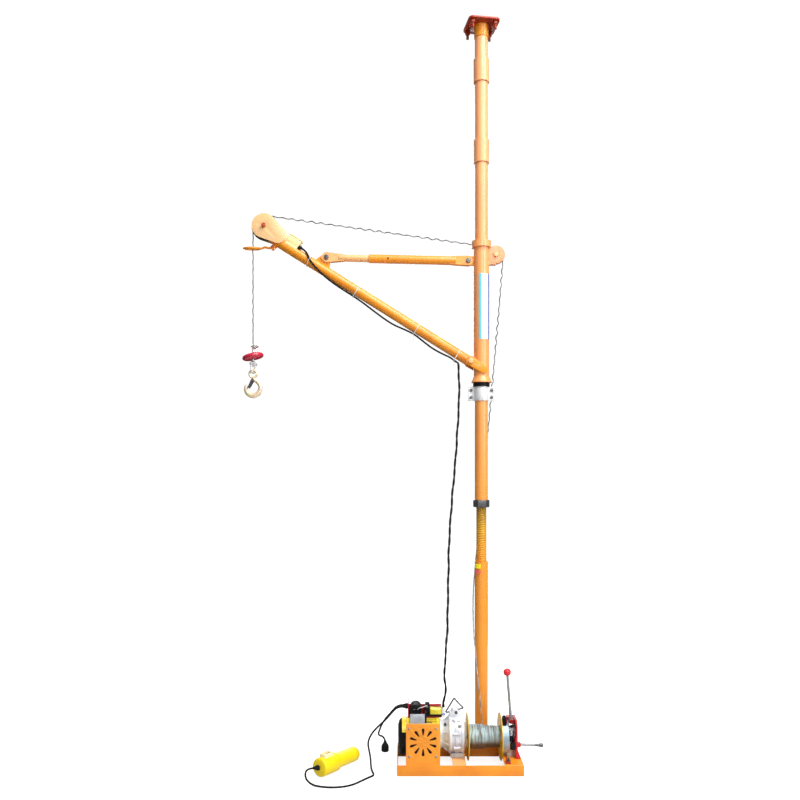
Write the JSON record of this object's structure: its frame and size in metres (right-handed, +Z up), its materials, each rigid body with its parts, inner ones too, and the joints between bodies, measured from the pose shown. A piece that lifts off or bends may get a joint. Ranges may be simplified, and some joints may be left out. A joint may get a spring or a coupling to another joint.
{
  "type": "mini crane",
  "caption": "Small construction hoist: a screw-jacked floor-to-ceiling column, a swinging braced jib with a head sheave and hook, an electric winch on a base frame and a push-button pendant.",
  "frame": {"origin": "on the column's axis at floor level, under the column's foot", "axes": "+Z up along the column, -X along the jib at rest, -Y towards the side with the winch"},
  "size_m": [1.3042, 0.4325, 3.2113],
  "materials": {
    "orange_paint": "orange gloss enamel, chipped and scuffed",
    "red_paint": "red enamel",
    "pale_orange_paint": "thin orange enamel",
    "greased_steel": "threaded steel with a film of grease",
    "dark_iron": "dark cast iron",
    "zinc_steel": "zinc plated steel",
    "bronze_bush": "plain bearing bronze",
    "sheave_iron": "machined cast iron",
    "rope_wire": "galvanised wire rope",
    "hook_gold": "pale gold lacquer on a forged hook",
    "latch_steel": "sprung steel latch",
    "drum_gold": "yellow passivated zinc",
    "band_lining": "blackened steel band with a friction lining",
    "lever_steel": "bright steel rod",
    "motor_yellow": "yellow enamel",
    "core_steel": "laminated core",
    "black_plastic": "black moulded plastic",
    "guard_paint": "orange gloss enamel on sheet",
    "cast_aluminium": "silver painted die casting",
    "limit_cream": "cream moulded plastic",
    "pendant_yellow": "yellow moulded plastic",
    "button_green": "green button",
    "button_red": "red button",
    "cable_black": "black rubber sheath"
  },
  "bodies": {
    "base": {"base_front_rail": "orange_paint", "base_rear_rail": "orange_paint", "base_cross_rails": "orange_paint", "lower_post": "orange_paint", "screw_post": "greased_steel", "motor_guard": "guard_paint", "motor_housing": "motor_yellow", "stator": "core_steel", "fan_cover": "black_plastic", "gearbox_case": "cast_aluminium", "gearbox_cover": "cast_aluminium", "end_bracket": "red_paint", "brake_band": "band_lining", "control_tray": "red_paint", "switchgear": "black_plastic", "cable_glands": "black_plastic", "pendant_lower": "pendant_yellow", "pendant_upper": "pendant_yellow", "pendant_cable": "cable_black", "power_lead": "cable_black", "mains_plug": "black_plastic", "limit_cable_drop": "cable_black", "rope_drop": "rope_wire"},
    "mast": {"mast_tube": "orange_paint", "column_extensions": "orange_paint", "ceiling_flange": "orange_paint", "column_bolts": "zinc_steel", "column_clamp": "zinc_steel", "thrust_ring": "dark_iron"},
    "nut": {"height_nut": "dark_iron"},
    "swing": {"swing_sleeve": "orange_paint", "sleeve_bushes": "bronze_bush", "sleeve_lugs": "orange_paint", "swing_bolts": "zinc_steel", "rope_span": "rope_wire"},
    "guide_wheel": {"guide_sheave": "sheave_iron"},
    "boom": {"boom_tube": "orange_paint", "head_cheeks": "orange_paint", "boom_bolts": "zinc_steel", "limit_switch": "limit_cream", "limit_cable_boom": "cable_black"},
    "head_wheel": {"head_sheave": "sheave_iron"},
    "limit_arm": {"limit_lever": "zinc_steel"},
    "stay_tube": {"stay_outer": "orange_paint"},
    "stay_rod": {"stay_inner": "pale_orange_paint"},
    "rope_fall": {"rope_hang": "rope_wire"},
    "hook_block": {"limit_weight": "red_paint"},
    "hook_set": {"rope_shackle": "zinc_steel", "hook": "hook_gold"},
    "latch": {"hook_latch": "latch_steel"},
    "drum_unit": {"drum": "drum_gold", "rope_winding": "rope_wire"},
    "rotor": {"motor_rotor": "core_steel"},
    "counter_shaft": {"counter_gear": "zinc_steel"},
    "output_shaft": {"drum_shaft": "zinc_steel"},
    "clutch_arm": {"clutch_lever": "lever_steel"},
    "brake_arm": {"brake_lever": "lever_steel"},
    "ring": {"lifting_ring": "zinc_steel"},
    "up_key": {"up_button": "button_green"},
    "down_key": {"down_button": "button_red"}
  },
  "joints": [
    {"name": "mast_height", "type": "slide", "parent": "base", "child": "mast", "axis": [0, 0, 1], "range_m": [0, 0.12]},
    {"name": "nut_spin", "type": "hinge", "parent": "mast", "child": "nut", "pos_m": [0, 0, 1.105], "axis": [0, 0, 1], "continuous": true},
    {"name": "jib_swing", "type": "hinge", "parent": "mast", "child": "swing", "pos_m": [0, 0, 1.65], "axis": [0, 0, 1], "range_deg": [-135, 135], "deforming": ["rope_drop", "limit_cable_drop"]},
    {"name": "guide_spin", "type": "hinge", "parent": "swing", "child": "guide_wheel", "pos_m": [0.07, 0.052, 2.211], "axis": [0, 1, 0], "continuous": true},
    {"name": "boom_luff", "type": "hinge", "parent": "swing", "child": "boom", "pos_m": [-0.05, 0, 1.728], "axis": [0, 1, 0], "range_deg": [0, 8], "deforming": ["rope_span"]},
    {"name": "stay_pivot", "type": "hinge", "parent": "swing", "child": "stay_tube", "pos_m": [-0.058, 0, 2.171], "axis": [0, 1, 0], "range_deg": [-1, 9]},
    {"name": "stay_slide", "type": "slide", "parent": "stay_tube", "child": "stay_rod", "axis": [-0.9997, 0, 0.0241], "range_m": [-0.07, 0.001]},
    {"name": "head_spin", "type": "hinge", "parent": "boom", "child": "head_wheel", "pos_m": [-0.95207, 0, 2.31998], "axis": [0, 1, 0], "continuous": true},
    {"name": "limit_lift", "type": "hinge", "parent": "boom", "child": "limit_arm", "pos_m": [-0.91501, 0, 2.23078], "axis": [0, 1, 0], "range_deg": [0, 6]},
    {"name": "fall_swing", "type": "hinge", "parent": "boom", "child": "rope_fall", "pos_m": [-0.95207, 0, 2.31998], "axis": [0, 1, 0], "range_deg": [-8.5, 0.5]},
    {"name": "hoist", "type": "slide", "parent": "rope_fall", "child": "hook_block", "axis": [0, 0, 1], "range_m": [-1.5, 0.38], "deforming": ["rope_hang"]},
    {"name": "hook_swivel", "type": "hinge", "parent": "hook_block", "child": "hook_set", "pos_m": [-1.00407, 0, 1.79], "axis": [0, 0, 1], "continuous": true},
    {"name": "latch_turn", "type": "hinge", "parent": "hook_set", "child": "latch", "pos_m": [-1.00617, 0, 1.64615], "axis": [0, 1, 0], "range_deg": [-30, 0], "stiffness_Nm_per_rad": 0.03, "springref_deg": 20.05},
    {"name": "drum_spin", "type": "hinge", "parent": "base", "child": "drum_unit", "pos_m": [0, -0.11, 0.12], "axis": [1, 0, 0], "continuous": true},
    {"name": "motor_spin", "type": "hinge", "parent": "base", "child": "rotor", "pos_m": [-0.26, -0.11, 0.12], "axis": [1, 0, 0], "continuous": true},
    {"name": "counter_spin", "type": "hinge", "parent": "base", "child": "counter_shaft", "pos_m": [-0.11, -0.11, 0.159], "axis": [1, 0, 0], "continuous": true},
    {"name": "shaft_spin", "type": "hinge", "parent": "base", "child": "output_shaft", "pos_m": [0, -0.11, 0.12], "axis": [1, 0, 0], "continuous": true},
    {"name": "clutch_tilt", "type": "hinge", "parent": "base", "child": "clutch_arm", "pos_m": [0.115, -0.11, 0.185], "axis": [0, 1, 0], "range_deg": [-8, 8]},
    {"name": "brake_press", "type": "hinge", "parent": "base", "child": "brake_arm", "pos_m": [0.147, -0.11, 0.085], "axis": [0, 1, 0], "range_deg": [0, 25], "stiffness_Nm_per_rad": 2, "springref_deg": -5.73},
    {"name": "ring_fold", "type": "hinge", "parent": "base", "child": "ring", "pos_m": [-0.1255, -0.11, 0.23], "axis": [0.9676, 0, 0.2524], "range_deg": [-75, 75]},
    {"name": "up_press", "type": "slide", "parent": "base", "child": "up_key", "axis": [0.0335, 0.0485, 0.9983], "range_m": [-0.003, 0], "stiffness_N_per_m": 500, "springref_m": 0.001},
    {"name": "down_press", "type": "slide", "parent": "base", "child": "down_key", "axis": [0.0335, 0.0485, 0.9983], "range_m": [-0.003, 0], "stiffness_N_per_m": 500, "springref_m": 0.001}
  ],
  "couplings": [
    {"joint": "nut_spin", "follows": "mast_height", "rad_per_m": 628.32},
    {"joint": "guide_spin", "follows": "hoist", "rad_per_m": 31.25},
    {"joint": "head_spin", "follows": "hoist", "rad_per_m": 19.231},
    {"joint": "drum_spin", "follows": "hoist", "rad_per_m": -21.008},
    {"joint": "stay_pivot", "follows": "boom_luff", "ratio": 1.0778},
    {"joint": "stay_slide", "follows": "boom_luff", "m_per_rad": -0.4418},
    {"joint": "fall_swing", "follows": "boom_luff", "ratio": -1},
    {"joint": "counter_spin", "follows": "motor_spin", "ratio": -0.30435},
    {"joint": "shaft_spin", "follows": "motor_spin", "ratio": 0.092628}
  ]
}
